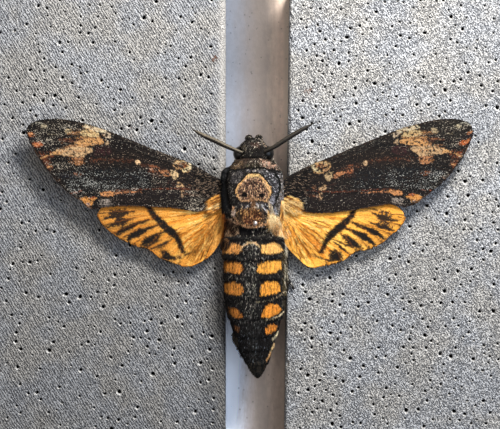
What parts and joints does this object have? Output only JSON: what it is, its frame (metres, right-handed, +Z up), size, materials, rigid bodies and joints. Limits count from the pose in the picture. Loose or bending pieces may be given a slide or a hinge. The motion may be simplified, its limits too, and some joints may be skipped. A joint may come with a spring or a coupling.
{
  "type": "set hawkmoth specimen",
  "caption": "Life-size death's-head hawkmoth with spread wings, on an insect pin in the groove of a foam setting board.",
  "frame": {"origin": "middle of the setting board's underside", "axes": "+Z up; +Y towards the moth's head, along the board's groove; +X to the moth's right, across the board"},
  "size_m": [0.132, 0.114, 0.046],
  "materials": {
    "foam": "grey closed-cell foam, fine open grain, matt, pricked with pin holes",
    "pin_steel": "thin steel insect pin with a small round head",
    "dark_fur": "short dark brown and grey fur of the head and thorax with the pale skull mark",
    "banded_fur": "short fur of the abdomen in black and orange-yellow bands",
    "forewing_scales": "dusty dark brown wing scales with grey speckle, cream, rust and black marks",
    "hindwing_scales": "silky orange-yellow wing scales with black bands",
    "eye_cuticle": "dark faceted compound eye",
    "antenna_cuticle": "grey-brown ringed feeler, paler above",
    "leg_cuticle": "dark brown scaled leg with pale rings"
  },
  "bodies": {
    "root": {"board_base": "foam", "board_panel_left": "foam", "board_panel_right": "foam", "pin": "pin_steel", "head": "dark_fur", "palp_left": "dark_fur", "palp_right": "dark_fur", "eye_left": "eye_cuticle", "eye_right": "eye_cuticle", "antenna_left": "antenna_cuticle", "antenna_right": "antenna_cuticle", "collar": "dark_fur", "thorax": "dark_fur", "tegula_left": "dark_fur", "tegula_right": "dark_fur", "metathorax": "dark_fur", "abdomen": "banded_fur", "forewing_left": "forewing_scales", "forewing_right": "forewing_scales", "hindwing_left": "hindwing_scales", "hindwing_right": "hindwing_scales", "leg_fore_left": "leg_cuticle", "leg_fore_right": "leg_cuticle", "leg_mid_left": "leg_cuticle", "leg_mid_right": "leg_cuticle", "leg_hind_left": "leg_cuticle", "leg_hind_right": "leg_cuticle"}
  },
  "joints": []
}
